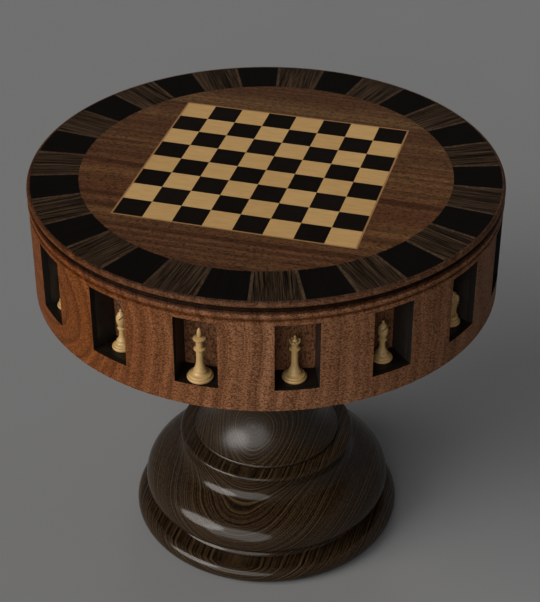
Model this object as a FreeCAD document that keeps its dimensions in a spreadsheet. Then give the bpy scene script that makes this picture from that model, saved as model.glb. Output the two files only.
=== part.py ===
import FreeCAD, Part
import math
import os

import Sketcher

# Round chess table: a drum with an inlaid top and sixteen display niches, on a turned pedestal.
# Millimetres, +Z up. The origin is on the floor under the middle of the table, the sides of the
# board run along X and Y, and the light player sits at -Y.

SIZES = {
    # Inlaid top
    "table_height": 720.0,
    "square_side": 50.0,
    "veneer_thickness": 3.0,
    "border_width": 3.0,
    "field_margin": 26.4,
    "ring_width": 80.5,
    "segment_pairs": 15,
    "stringing_width": 5.0,
    "core_thickness": 16.0,
    # Edge mouldings, from the top down
    "lipping_width": 6.0,
    "lipping_height": 11.0,
    "lipping_bulge": 4.0,
    "cove_setback": 5.0,
    "cove_height": 8.0,
    "cove_hollow": 3.0,
    "bead_height": 13.5,
    "bead_rise": 4.0,
    "quirk_height": 3.5,
    "moulding_width": 22.0,
    # Apron and niches
    "apron_setback": 1.0,
    "apron_thickness": 10.0,
    "top_rail_height": 5.5,
    "bottom_rail_height": 39.0,
    "niche_count": 16,
    "window_width": 70.0,
    "window_height": 120.5,
    "niche_depth": 44.0,
    "niche_side_thickness": 6.0,
    "niche_back_thickness": 8.0,
    "niche_floor_thickness": 8.0,
    # Inside of the drum
    "ledger_width": 12.0,
    "bottom_thickness": 12.0,
    "bottom_recess": 2.0,
    "rib_count": 8,
    "rib_thickness": 12.0,
    "rib_gap": 2.0,
    "hub_radius": 95.0,
    "hub_height": 30.0,
    # Pedestal, from the floor up
    "pad_count": 6,
    "pad_radius": 14.0,
    "pad_inset": 41.0,
    "pad_thickness": 2.0,
    "base_radius": 246.0,
    "base_thickness": 32.0,
    "riser_setback": 2.5,
    "riser_height": 19.0,
    "riser_hollow": 5.0,
    "bowl_lower_round": 20.5,
    "bowl_shoulder_round": 40.0,
    "bowl_shoulder_angle": 57.0,
    "bowl_crown_round": 107.0,
    "bowl_crown_angle": 78.0,
    "bowl_throat_round": 28.0,
    "bowl_neck_height": 18.5,
    "collar_overhang": 9.9,
    "collar_thickness": 12.0,
    "collar_ledge": 28.0,
    "column_foot_thickness": 7.0,
    "column_flare": 51.0,
    "column_flare_round": 96.0,
    "stem_radius": 78.0,
    "stem_taper": 6.0,
    "column_head_flare": 34.0,
    "column_head_round": 60.0,
    "flange_overhang": 34.0,
    "flange_thickness": 18.0,
    "flange_round": 6.0,
    # Fasteners
    "rod_radius": 8.0,
    "rod_clearance": 1.0,
    "rod_foot_end": 2.0,
    "rod_top_end": 6.0,
    "washer_radius": 22.0,
    "washer_thickness": 3.0,
    "nut_width": 24.0,
    "nut_height": 13.0,
    "counterbore_clearance": 4.0,
    "counterbore_depth": 24.0,
    "screw_count": 8,
    "screw_inset": 18.0,
    "screw_radius": 2.5,
    "screw_grip": 9.0,
    "screw_head_radius": 5.0,
    "screw_head_height": 2.5,
    "screw_clearance": 0.2,
    # Mouldings that all chess figures share
    "figure_lift": 0.3,
    "plinth_height": 5.0,
    "plinth_bulge": 1.0,
    "step_inset": 2.6,
    "step_height": 3.5,
    "step_taper": 2.2,
    "bell_height": 5.0,
    "bell_hollow": 1.0,
    "foot_ring_height": 1.8,
    "foot_ring_bulge": 0.8,
    "collar_slope": 2.0,
    "collar_edge": 1.3,
    "dome_bulge": 0.5,
    # King
    "king_back_gap": 10.5,
    "king_base_radius": 21.2,
    "king_ring_radius": 10.4,
    "king_sweep_height": 18.7,
    "king_stem_radius": 5.9,
    "king_stem_height": 17.5,
    "king_collar_radius": 9.4,
    "king_neck_radius": 5.7,
    "king_neck_height": 9.2,
    "king_crown_height": 6.4,
    "king_crown_radius": 10.2,
    "king_dome_height": 1.8,
    "king_finial_radius": 3.9,
    "king_finial_height": 16.5,
    # Queen
    "queen_back_gap": 2.5,
    "queen_base_radius": 19.6,
    "queen_ring_radius": 9.6,
    "queen_sweep_height": 15.0,
    "queen_stem_radius": 5.7,
    "queen_stem_height": 22.2,
    "queen_collar_radius": 8.6,
    "queen_neck_radius": 5.4,
    "queen_crown_height": 10.4,
    "queen_crown_radius": 8.8,
    "queen_crown_wall": 2.4,
    "queen_rim_height": 2.4,
    "queen_gutter": 1.2,
    "queen_notches": 8,
    "queen_notch_radius": 1.7,
    "queen_dome_height": 5.8,
    "queen_finial_radius": 2.2,
    "queen_finial_height": 5.2,
    # Bishop
    "bishop_back_gap": 0.6,
    "bishop_aside": 4.0,
    "bishop_base_radius": 17.2,
    "bishop_ring_radius": 8.6,
    "bishop_sweep_height": 11.0,
    "bishop_stem_radius": 4.9,
    "bishop_stem_height": 8.0,
    "bishop_collar_radius": 7.2,
    "bishop_neck_radius": 4.5,
    "bishop_cheek_height": 14.4,
    "bishop_mitre_radius": 8.4,
    "bishop_mitre_height": 14.4,
    "bishop_finial_radius": 2.4,
    "bishop_finial_height": 3.6,
    "bishop_slot_width": 1.6,
    "bishop_slot_rise": 1.0,
    # Knight
    "knight_back_gap": 4.0,
    "knight_aside": 15.0,
    "knight_base_radius": 17.2,
    "knight_seat_radius": 12.0,
    "knight_seat_height": 6.5,
    "knight_neck_level": 9.0,
    "knight_head_height": 53.0,
    "knight_head_length": 29.0,
    "knight_cheek_width": 13.0,
    # Rook
    "rook_back_gap": 2.5,
    "rook_aside": 8.0,
    "rook_base_radius": 17.2,
    "rook_ring_radius": 11.4,
    "rook_sweep_height": 9.5,
    "rook_stem_radius": 8.4,
    "rook_stem_height": 13.0,
    "rook_collar_radius": 10.8,
    "rook_neck_radius": 8.8,
    "rook_flare_height": 4.9,
    "rook_parapet_radius": 11.8,
    "rook_parapet_height": 9.0,
    "rook_wall": 3.2,
    "rook_well_depth": 4.0,
    "rook_slot_width": 3.4,
    "rook_slots": 3,
}

# The bud on top of a figure: its neck, belly and tip as shares of its radius or height
BUD_NECK, BUD_BELLY, BUD_TIP = 0.6, 0.45, 0.25

# The horse's head seen from the side, from the chest round the muzzle and the mane: forwards
# and upwards as shares of its length and height, with the bow of the edge that arrives there.
HORSE_HEAD = [
    (0.36, 0.00, 0.0),
    (0.40, 0.24, 0.04),
    (0.12, 0.62, -0.06),
    (0.34, 0.66, 0.02),
    (0.57, 0.72, -0.01),
    (0.63, 0.82, 0.03),
    (0.52, 0.90, 0.02),
    (0.22, 0.92, -0.02),
    (0.11, 1.03, 0.0),
    (-0.02, 0.94, 0.0),
    (-0.40, 0.80, 0.05),
    (-0.54, 0.57, 0.04),
    (-0.34, 0.26, -0.04),
    (-0.42, 0.00, -0.03),
]
HEAD_MIDDLE = (0.0, 0.5)
CHEEK_SHARE = 0.82


class Term:
    """A number together with the formula of sheet cells that gives it."""

    def __init__(self, text, number):
        self.text = text
        self.number = number

    def __add__(self, other):
        other = term(other)
        return Term(f"({self.text} + {other.text})", self.number + other.number)

    def __sub__(self, other):
        other = term(other)
        return Term(f"({self.text} - {other.text})", self.number - other.number)

    def __mul__(self, other):
        other = term(other)
        return Term(f"({self.text} * {other.text})", self.number * other.number)

    def __truediv__(self, other):
        other = term(other)
        return Term(f"({self.text} / {other.text})", self.number / other.number)

    def __neg__(self):
        return self * -1

    __radd__ = __add__
    __rmul__ = __mul__


def term(value):
    if isinstance(value, Term):
        return value
    return Term(f"({value!r})", float(value))


def root(value):
    return Term(f"sqrt({value.text})", math.sqrt(value.number))


def cosine(angle):
    angle = term(angle)
    return Term(f"cos({angle.text} * 1 deg)", math.cos(math.radians(angle.number)))


def sine(angle):
    angle = term(angle)
    return Term(f"sin({angle.text} * 1 deg)", math.sin(math.radians(angle.number)))


def bulge_radius(chord, rise):
    return chord * chord / (rise * 8) + rise / 2


def sweep_radius(across, along):
    """Radius of an arc that ends square to the first of its two extents."""
    return (across * across + along * along) / (across * 2)


def slant(across, along):
    return root(across * across + along * along)


def on_circle(radius, offset):
    """How far out a circle is cut by a line parallel to the radius and this far from it."""
    return root(radius * radius - offset * offset)


document = FreeCAD.newDocument("chess_table")
sheet = document.addObject("Spreadsheet::Sheet", "sizes")
for row, (alias, number) in enumerate(SIZES.items(), start=1):
    sheet.set(f"A{row}", alias)
    sheet.set(f"B{row}", str(number))
    sheet.setAlias(f"B{row}", alias)
document.recompute()

subparts = []


def size(alias):
    return Term(f"sizes.{alias}", float(SIZES[alias]))


def bind(item, path, value):
    item.setExpression(path, term(value).text)


def origin_feature(body, role):
    return next(item for item in body.Origin.OriginFeatures if item.Role == role)


def new_body(label, turn=0):
    body = document.addObject("PartDesign::Body", label)
    body.Label = label
    body.Placement = FreeCAD.Placement(FreeCAD.Vector(), FreeCAD.Rotation(FreeCAD.Vector(0, 0, 1), 1))
    bind(body, "Placement.Rotation.Angle", turn)
    subparts.append(body)
    return body


def new_sketch(body, role, offset=0):
    sketch = body.newObject("Sketcher::SketchObject", f"{body.Label}_sketch")
    sketch.AttachmentSupport = [(origin_feature(body, role), "")]
    sketch.MapMode = "FlatFace"
    bind(sketch, "AttachmentOffset.Base.z", offset)
    return sketch


def arc_geometry(start, end, bend):
    chord = end - start
    middle = (start + end) / 2
    right = FreeCAD.Vector(chord.y, -chord.x, 0).normalize()
    reach = math.sqrt(bend * bend - chord.Length ** 2 / 4)
    centre = middle - right * math.copysign(reach, bend)
    circle = Part.Circle(centre, FreeCAD.Vector(0, 0, 1), abs(bend))
    first, last = (start, end) if bend > 0 else (end, start)
    angles = [math.atan2(point.y - centre.y, point.x - centre.x) for point in (first, last)]
    if angles[1] < angles[0]:
        angles[1] += 2 * math.pi
    return Part.ArcOfCircle(circle, angles[0], angles[1])


def fix_point(sketch, edge, end, x, y):
    for kind, value in (("DistanceX", x), ("DistanceY", y)):
        value = term(value)
        index = sketch.addConstraint(Sketcher.Constraint(kind, -1, 1, edge, end, value.number))
        bind(sketch, f"Constraints[{index}]", value)


def outline(sketch, corners):
    """A closed outline, anticlockwise. A corner is x, y and, where the edge that arrives there is
    an arc, its radius: positive bulges outwards and negative inwards."""
    points = [FreeCAD.Vector(term(corner[0]).number, term(corner[1]).number, 0) for corner in corners]
    edges = []
    for index, corner in enumerate(corners):
        start, end = points[index - 1], points[index]
        if len(corner) == 3:
            edge = sketch.addGeometry(arc_geometry(start, end, corner[2].number), False)
            ends = (1, 2) if corner[2].number > 0 else (2, 1)
        else:
            edge = sketch.addGeometry(Part.LineSegment(start, end), False)
            ends = (1, 2)
        edges.append((edge, ends))
    for index, (edge, ends) in enumerate(edges):
        following, following_ends = edges[(index + 1) % len(edges)]
        joint = Sketcher.Constraint("Coincident", edge, ends[1], following, following_ends[0])
        sketch.addConstraint(joint)
    for (edge, ends), corner in zip(edges, corners):
        fix_point(sketch, edge, ends[1], corner[0], corner[1])
        if len(corner) == 3:
            radius = corner[2] if corner[2].number > 0 else -corner[2]
            index = sketch.addConstraint(Sketcher.Constraint("Radius", edge, radius.number))
            bind(sketch, f"Constraints[{index}]", radius)
    return sketch


def circle(sketch, radius, x=0):
    x = term(x)
    shape = Part.Circle(FreeCAD.Vector(x.number, 0, 0), FreeCAD.Vector(0, 0, 1), radius.number)
    edge = sketch.addGeometry(shape, False)
    fix_point(sketch, edge, 3, x, 0)
    index = sketch.addConstraint(Sketcher.Constraint("Radius", edge, radius.number))
    bind(sketch, f"Constraints[{index}]", radius)
    return sketch


def pad(body, sketch, thickness):
    feature = body.newObject("PartDesign::Pad", f"{body.Label}_pad")
    feature.Profile = sketch
    bind(feature, "Length", thickness)
    return feature


def pocket(body, sketch, depth, reverse=False):
    feature = body.newObject("PartDesign::Pocket", f"{body.Label}_pocket")
    feature.Profile = sketch
    feature.Reversed = reverse
    bind(feature, "Length", depth)
    return feature


def around(body, feature, count):
    pattern = body.newObject("PartDesign::PolarPattern", f"{body.Label}_round")
    pattern.Originals = [feature]
    pattern.Axis = (origin_feature(body, "Z_Axis"), [""])
    pattern.Angle = 360
    bind(pattern, "Occurrences", count)
    body.Tip = pattern
    return pattern


def turn_outline(body, corners):
    feature = body.newObject("PartDesign::Revolution", f"{body.Label}_turning")
    feature.Profile = outline(new_sketch(body, "XZ_Plane"), corners)
    feature.ReferenceAxis = (feature.Profile[0], ["V_Axis"])
    feature.Angle = 360
    return feature


def turned(label, corners):
    body = new_body(label)
    turn_outline(body, corners)
    return body


def ring(label, inner, outer, bottom, top):
    return turned(label, [(inner, bottom), (outer, bottom), (outer, top), (inner, top)])


def sawn(label, outlines, bottom, thickness, turn=0):
    body = new_body(label, turn)
    sketch = new_sketch(body, "XY_Plane", bottom)
    for corners in outlines:
        outline(sketch, corners)
    pad(body, sketch, thickness)
    return body


def repeated(body, count):
    around(body, body.Tip, count)
    return body


def drill(body, radius, circle_radius, count, top, depth):
    sketch = circle(new_sketch(body, "XY_Plane", top), radius, circle_radius)
    around(body, pocket(body, sketch, depth), count)


# Levels, from the top down

table_top = size("table_height")
inlay_level = table_top - size("veneer_thickness")
lipping_level = table_top - size("lipping_height")
cove_level = lipping_level - size("cove_height")
core_level = inlay_level - size("core_thickness")
bead_level = cove_level - size("bead_height")
apron_top = bead_level - size("quirk_height")
window_top = apron_top - size("top_rail_height")
niche_level = window_top - size("window_height")
drum_level = niche_level - size("bottom_rail_height")
bottom_level = drum_level + size("bottom_recess")
bottom_board_top = bottom_level + size("bottom_thickness")
floor_board_level = niche_level - size("niche_floor_thickness")
flange_level = bottom_level - size("flange_thickness")

# Radii shared by several pieces

board_half = size("square_side") * 4
field_half = board_half + size("border_width")
field_radius = field_half * math.sqrt(2) + size("field_margin")
ring_radius = field_radius + size("ring_width")
rim_radius = ring_radius + size("lipping_width")
moulding_seat = rim_radius - size("moulding_width")
apron_radius = rim_radius - size("apron_setback")
apron_inside = apron_radius - size("apron_thickness")
niche_back = apron_inside - size("niche_depth")
ring_inside = niche_back - size("niche_back_thickness")
rod_bore = size("rod_radius") + size("rod_clearance")
half_window = size("window_width") / 2


def board_squares(label, cells):
    """Every second square of the board: two of each block of four, repeated four by four."""
    side = size("square_side")
    corner = side * -4
    squares = []
    for column, row in cells:
        left = corner + side * column
        near = corner + side * row
        squares.append([(left, near), (left + side, near), (left + side, near + side), (left, near + side)])
    body = sawn(label, squares, inlay_level, size("veneer_thickness"))
    grid = body.newObject("PartDesign::MultiTransform", f"{label}_grid")
    grid.Originals = [body.Tip]
    rows = []
    for role in ("X_Axis", "Y_Axis"):
        pattern = body.newObject("PartDesign::LinearPattern", f"{label}_{role}")
        pattern.Direction = (origin_feature(body, role), [""])
        bind(pattern, "Length", side * 6)
        pattern.Occurrences = 4
        rows.append(pattern)
    grid.Transformations = rows
    body.Tip = grid


def wedge_outline(half_angle, gap, inner, outer):
    """A piece of a ring, centred on X, with straight sides half a gap short of its two radii."""
    corners = []
    for radius, side in ((outer, -1), (outer, 1), (inner, 1), (inner, -1)):
        along = on_circle(radius, gap / 2)
        x = along * cosine(half_angle) + gap / 2 * sine(half_angle)
        y = (along * sine(half_angle) - gap / 2 * cosine(half_angle)) * side
        corners.append((x, y))
    corners[1] += (outer,)
    corners[3] += (-inner,)
    return corners


def inlaid_top():
    board_squares("dark_squares", [(0, 0), (1, 1)])
    board_squares("light_squares", [(1, 0), (0, 1)])
    strip = [(field_half, -field_half), (field_half, field_half), (board_half, board_half),
             (board_half, -board_half)]
    repeated(sawn("board_border", [strip], inlay_level, size("veneer_thickness")), 4)

    field = new_body("field_veneer")
    sketch = circle(new_sketch(field, "XY_Plane", inlay_level), field_radius)
    outline(sketch, [(field_half, -field_half), (field_half, field_half), (-field_half, field_half),
                     (-field_half, -field_half)])
    pad(field, sketch, size("veneer_thickness"))

    pairs = size("segment_pairs")
    half_angle = term(90) / pairs
    segment = wedge_outline(half_angle, size("stringing_width"), field_radius, ring_radius)
    for label, turn in (("ebony_segments", half_angle - 90), ("zebrano_segments", half_angle * 3 - 90)):
        repeated(sawn(label, [segment], inlay_level, size("veneer_thickness"), turn), pairs)
    half_line = size("stringing_width") / 2
    inner = on_circle(field_radius, half_line)
    outer = on_circle(ring_radius, half_line)
    line = [(inner, -half_line), (outer, -half_line), (outer, half_line, ring_radius),
            (inner, half_line)]
    line[0] += (-field_radius,)
    strings = sawn("segment_stringing", [line], inlay_level, size("veneer_thickness"), term(-90))
    repeated(strings, pairs * 2)

    turned("top_core", [
        (0, core_level),
        (moulding_seat, core_level),
        (moulding_seat, lipping_level),
        (ring_radius, lipping_level),
        (ring_radius, inlay_level),
        (0, inlay_level),
    ])


def edge_mouldings():
    rim = rim_radius
    nose = rim - size("lipping_bulge")
    turned("edge_lipping", [
        (ring_radius, lipping_level),
        (nose, lipping_level),
        (nose, table_top, bulge_radius(size("lipping_height"), size("lipping_bulge"))),
        (ring_radius, table_top),
    ])
    cove = rim - size("cove_setback")
    turned("cove_moulding", [
        (moulding_seat, cove_level),
        (cove, cove_level),
        (cove, lipping_level, -bulge_radius(size("cove_height"), size("cove_hollow"))),
        (moulding_seat, lipping_level),
    ])
    quirk = rim - size("bead_rise")
    turned("bead_moulding", [
        (moulding_seat, apron_top),
        (quirk, apron_top),
        (quirk, bead_level),
        (quirk, cove_level, bulge_radius(size("bead_height"), size("bead_rise"))),
        (moulding_seat, cove_level),
    ])


def apron():
    ring("apron_top_rail", apron_inside, apron_radius, window_top, apron_top)
    ring("apron_bottom_rail", apron_inside, apron_radius, drum_level, niche_level)
    half_pitch = term(180) / size("niche_count")
    stave = wedge_outline(half_pitch, size("window_width"), apron_inside, apron_radius)
    repeated(sawn("apron_staves", [stave], niche_level, size("window_height"), half_pitch),
             size("niche_count"))


def niches():
    count = size("niche_count")
    outside = half_window + size("niche_side_thickness")
    front = on_circle(apron_inside, outside)
    panels = []
    for near, far in ((half_window, outside), (-outside, -half_window)):
        panels.append([(niche_back, near), (front, near), (front, far), (niche_back, far)])
    repeated(sawn("niche_sides", panels, niche_level, size("window_height")), count)
    back = [(ring_inside, -outside), (niche_back, -outside), (niche_back, outside), (ring_inside, outside)]
    repeated(sawn("niche_backs", [back], niche_level, size("window_height")), count)
    ring("niche_floor", ring_inside, apron_inside, floor_board_level, niche_level)
    ring("niche_ceiling", ring_inside, apron_inside, window_top, apron_top)


def drum_inside():
    ring("top_ledger", moulding_seat - size("ledger_width"), moulding_seat, apron_top, core_level)
    ring("floor_ledger", apron_inside - size("ledger_width"), apron_inside, bottom_board_top,
         floor_board_level)
    half_rib = size("rib_thickness") / 2
    start = size("hub_radius") + size("rib_gap")
    end = ring_inside - size("rib_gap")
    rib = [(start, -half_rib), (end, -half_rib), (end, half_rib), (start, half_rib)]
    repeated(sawn("bearer_ribs", [rib], bottom_board_top, core_level - bottom_board_top), size("rib_count"))
    ring("hub_block", rod_bore, size("hub_radius"), bottom_board_top, bottom_board_top + size("hub_height"))
    return ring("bottom_board", rod_bore, apron_inside, bottom_level, bottom_board_top)


def rounded_disc(label, inner, radius, bottom, thickness):
    """A disc whose edge is a full half round."""
    edge = thickness / 2
    return turned(label, [
        (inner, bottom),
        (radius - edge, bottom),
        (radius, bottom + edge, edge),
        (radius - edge, bottom + thickness, edge),
        (inner, bottom + thickness),
    ])


def pedestal():
    pads = new_body("felt_pads")
    pad_circle = size("base_radius") - size("pad_inset")
    pad(pads, circle(new_sketch(pads, "XY_Plane"), size("pad_radius"), pad_circle), size("pad_thickness"))
    repeated(pads, size("pad_count"))

    base_level = size("pad_thickness")
    base_top = base_level + size("base_thickness")
    base = rounded_disc("base_disc", rod_bore, size("base_radius"), base_level, size("base_thickness"))
    recess = circle(new_sketch(base, "XY_Plane", base_level),
                    size("washer_radius") + size("counterbore_clearance"))
    pocket(base, recess, size("counterbore_depth"), reverse=True)

    # Radii from the stem outwards, so that foot, collar and bowl keep their ledges
    foot_edge = size("column_foot_thickness") / 2
    foot_radius = size("stem_radius") + size("column_flare") + foot_edge
    collar_radius = foot_radius + size("collar_ledge")
    neck_x = collar_radius - size("collar_overhang")
    out, up = cosine(size("bowl_shoulder_angle")), sine(size("bowl_shoulder_angle"))
    crown_out, crown_up = cosine(size("bowl_crown_angle")), sine(size("bowl_crown_angle"))
    crown_x = neck_x + size("bowl_throat_round") - size("bowl_throat_round") * crown_out
    shoulder_x = crown_x + size("bowl_crown_round") * (out - crown_out)
    bowl_radius = shoulder_x + size("bowl_shoulder_round") - size("bowl_shoulder_round") * out
    bowl_foot = bowl_radius - size("bowl_lower_round")
    riser_radius = bowl_foot - size("riser_setback")

    bowl_level = base_top + size("riser_height")
    turned("riser", [
        (rod_bore, base_top),
        (riser_radius, base_top),
        (riser_radius, bowl_level, -bulge_radius(size("riser_height"), size("riser_hollow"))),
        (rod_bore, bowl_level),
    ])

    widest_level = bowl_level + size("bowl_lower_round")
    shoulder_z = widest_level + size("bowl_shoulder_round") * up
    crown_z = shoulder_z + size("bowl_crown_round") * (crown_up - up)
    neck_z = crown_z + size("bowl_throat_round") * crown_up
    collar_level = neck_z + size("bowl_neck_height")
    turned("bowl", [
        (rod_bore, bowl_level),
        (bowl_foot, bowl_level),
        (bowl_radius, widest_level, size("bowl_lower_round")),
        (shoulder_x, shoulder_z, size("bowl_shoulder_round")),
        (crown_x, crown_z, size("bowl_crown_round")),
        (neck_x, neck_z, -size("bowl_throat_round")),
        (neck_x, collar_level),
        (rod_bore, collar_level),
    ])

    rounded_disc("collar", rod_bore, collar_radius, collar_level, size("collar_thickness"))

    foot_level = collar_level + size("collar_thickness")
    foot_top = foot_level + size("column_foot_thickness")
    stem_top_radius = size("stem_radius") - size("stem_taper")
    head_radius = stem_top_radius + size("column_head_flare")
    flare = size("column_flare_round")
    flare_in = flare - size("column_flare")
    head = size("column_head_round")
    head_in = head - size("column_head_flare")
    turned("column", [
        (rod_bore, foot_level),
        (foot_radius - foot_edge, foot_level),
        (foot_radius, foot_level + foot_edge, foot_edge),
        (foot_radius - foot_edge, foot_top, foot_edge),
        (size("stem_radius"), foot_top + root(flare * flare - flare_in * flare_in), -flare),
        (stem_top_radius, flange_level - root(head * head - head_in * head_in)),
        (head_radius, flange_level, -head),
        (rod_bore, flange_level),
    ])

    edge = size("flange_round")
    flange_radius = head_radius + size("flange_overhang")
    flange = turned("head_flange", [
        (rod_bore, flange_level),
        (flange_radius - edge, flange_level),
        (flange_radius, flange_level + edge, edge),
        (flange_radius, bottom_level),
        (rod_bore, bottom_level),
    ])
    return flange, flange_radius - size("screw_inset")


def flange_fixing(board, flange, screw_circle):
    """Screws up through the flange into the bottom board, and their holes."""
    screw_hole = size("screw_radius") + size("screw_clearance")
    drill(flange, screw_hole, screw_circle, size("screw_count"), bottom_level, size("flange_thickness"))
    drill(board, screw_hole, screw_circle, size("screw_count"), bottom_level + size("screw_grip"),
          size("screw_grip"))
    head_level = flange_level - size("screw_head_height")
    screws = new_body("flange_screws")
    head_sketch = circle(new_sketch(screws, "XY_Plane", head_level), size("screw_head_radius"), screw_circle)
    pad(screws, head_sketch, size("screw_head_height"))
    head = screws.Tip
    shank_sketch = circle(new_sketch(screws, "XY_Plane", flange_level), size("screw_radius"), screw_circle)
    shank = pad(screws, shank_sketch, size("flange_thickness") + size("screw_grip"))
    around(screws, head, size("screw_count")).Originals = [head, shank]


def tie():
    """The rod that draws base, pedestal and drum together, with its washers and nuts."""
    lower_washer = size("pad_thickness") + size("counterbore_depth") - size("washer_thickness")
    upper_washer = bottom_board_top + size("hub_height")
    lower_nut = lower_washer - size("nut_height")
    upper_nut = upper_washer + size("washer_thickness")
    washers = new_body("tie_washers")
    nuts = new_body("tie_nuts")
    corner = size("nut_width") / math.sqrt(3)
    for washer_level, nut_level in ((lower_washer, lower_nut), (upper_washer, upper_nut)):
        sketch = circle(new_sketch(washers, "XY_Plane", washer_level), size("washer_radius"))
        pad(washers, circle(sketch, rod_bore), size("washer_thickness"))
        hexagon = [(corner * cosine(60 * side), corner * sine(60 * side)) for side in range(6)]
        sketch = outline(new_sketch(nuts, "XY_Plane", nut_level), hexagon)
        pad(nuts, circle(sketch, size("rod_radius")), size("nut_height"))
    rod_foot = lower_nut - size("rod_foot_end")
    rod_top = upper_nut + size("nut_height") + size("rod_top_end")
    rod = new_body("tie_rod")
    pad(rod, circle(new_sketch(rod, "XY_Plane", rod_foot), size("rod_radius")), rod_top - rod_foot)


def figure_foot(kind):
    """The plinth and the step on it."""
    base = size(f"{kind}_base_radius")
    edge = base - size("plinth_bulge")
    ledge = base - size("step_inset")
    step_top = size("plinth_height") + size("step_height")
    return [
        (0, 0),
        (edge, 0),
        (edge, size("plinth_height"), bulge_radius(size("plinth_height"), size("plinth_bulge"))),
        (ledge, size("plinth_height")),
        (ledge - size("step_taper"), step_top,
         bulge_radius(slant(size("step_taper"), size("step_height")), size("plinth_bulge"))),
    ]


def figure_shaft(kind):
    """Plinth, bell, stem and collar, up to the neck under the head."""
    corners = figure_foot(kind)
    foot_x, foot_z = corners[-1][:2]
    ring_x = size(f"{kind}_ring_radius")
    bell_level = foot_z + size("bell_height")
    ring_top = bell_level + size("foot_ring_height")
    stem = size(f"{kind}_stem_radius")
    neck = size(f"{kind}_neck_radius")
    sweep_level = ring_top + size(f"{kind}_sweep_height")
    collar = size(f"{kind}_collar_radius")
    collar_level = sweep_level + size(f"{kind}_stem_height")
    collar_top = collar_level + size("collar_slope") + size("collar_edge")
    return corners + [
        (ring_x, bell_level, -bulge_radius(slant(foot_x - ring_x, size("bell_height")), size("bell_hollow"))),
        (ring_x, ring_top, bulge_radius(size("foot_ring_height"), size("foot_ring_bulge"))),
        (stem, sweep_level, -sweep_radius(ring_x - stem, size(f"{kind}_sweep_height"))),
        (neck, collar_level),
        (collar, collar_level + size("collar_slope")),
        (collar, collar_top),
        (neck, collar_top + size("collar_slope")),
    ]


def finial(level, kind):
    """A bud on a thin neck, fullest below its middle and flat at its tip."""
    radius = size(f"{kind}_finial_radius")
    rise = size(f"{kind}_finial_height")
    belly = rise * BUD_BELLY
    tip = radius * BUD_TIP
    return [
        (radius, level + belly, sweep_radius(radius - radius * BUD_NECK, belly)),
        (tip, level + rise, sweep_radius(radius - tip, rise - belly)),
        (term(0), level + rise),
    ]


def dome(edge, level, kind):
    """The low dome inside a crown, and the bud on it."""
    bud = size(f"{kind}_finial_radius") * BUD_NECK
    rise = size(f"{kind}_dome_height")
    side = bulge_radius(slant(edge - bud, rise), size("dome_bulge"))
    return [(bud, level + rise, side)] + finial(level + rise, kind)


def king(body):
    shaft = figure_shaft("king")
    neck_x, neck_z = shaft[-1]
    crown = size("king_crown_radius")
    flare_level = neck_z + size("king_neck_height")
    crown_level = flare_level + size("king_crown_height")
    rim_level = crown_level + size("collar_edge")
    turn_outline(body, shaft + [
        (neck_x, flare_level),
        (crown, crown_level, -sweep_radius(crown - neck_x, size("king_crown_height"))),
        (crown, rim_level),
    ] + dome(crown, rim_level, "king"))


def queen(body):
    shaft = figure_shaft("queen")
    neck_x, neck_z = shaft[-1]
    crown = size("queen_crown_radius")
    crown_level = neck_z + size("queen_crown_height")
    rim_level = crown_level + size("queen_rim_height")
    inside = crown - size("queen_crown_wall")
    dome_edge = inside - size("queen_gutter")
    turn_outline(body, shaft + [
        (crown, crown_level, -sweep_radius(crown - neck_x, size("queen_crown_height"))),
        (crown, rim_level),
        (inside, rim_level),
        (inside, crown_level),
        (dome_edge, crown_level),
    ] + dome(dome_edge, crown_level, "queen"))
    notch = new_sketch(body, "YZ_Plane", inside - size("queen_gutter") / 2)
    edge = notch.addGeometry(Part.Circle(FreeCAD.Vector(0, rim_level.number, 0), FreeCAD.Vector(0, 0, 1),
                                         size("queen_notch_radius").number), False)
    fix_point(notch, edge, 3, 0, rim_level)
    index = notch.addConstraint(Sketcher.Constraint("Radius", edge, size("queen_notch_radius").number))
    bind(notch, f"Constraints[{index}]", size("queen_notch_radius"))
    around(body, pocket(body, notch, size("queen_crown_wall") * 2, reverse=True), size("queen_notches"))


def bishop(body):
    shaft = figure_shaft("bishop")
    neck_x, neck_z = shaft[-1]
    mitre = size("bishop_mitre_radius")
    mitre_level = neck_z + size("bishop_cheek_height")
    bud = size("bishop_finial_radius") * BUD_NECK
    bud_level = mitre_level + size("bishop_mitre_height")
    turn_outline(body, shaft + [
        (mitre, mitre_level, sweep_radius(mitre - neck_x, size("bishop_cheek_height"))),
        (bud, bud_level, sweep_radius(mitre - bud, size("bishop_mitre_height"))),
    ] + finial(bud_level, "bishop"))
    # The slot climbs at 45 degrees from beside the axis out through the mitre's side
    gap = size("bishop_slot_width") * math.sqrt(2)
    slot_level = mitre_level + size("bishop_slot_rise")
    slot_start, slot_end = bud / 2, bud / 2 + mitre
    cut = outline(new_sketch(body, "XZ_Plane"), [
        (slot_start, slot_level),
        (slot_end, slot_level + mitre),
        (slot_end, slot_level + mitre + gap),
        (slot_start, slot_level + gap),
    ])
    pocket(body, cut, mitre * 2).Midplane = True


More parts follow.
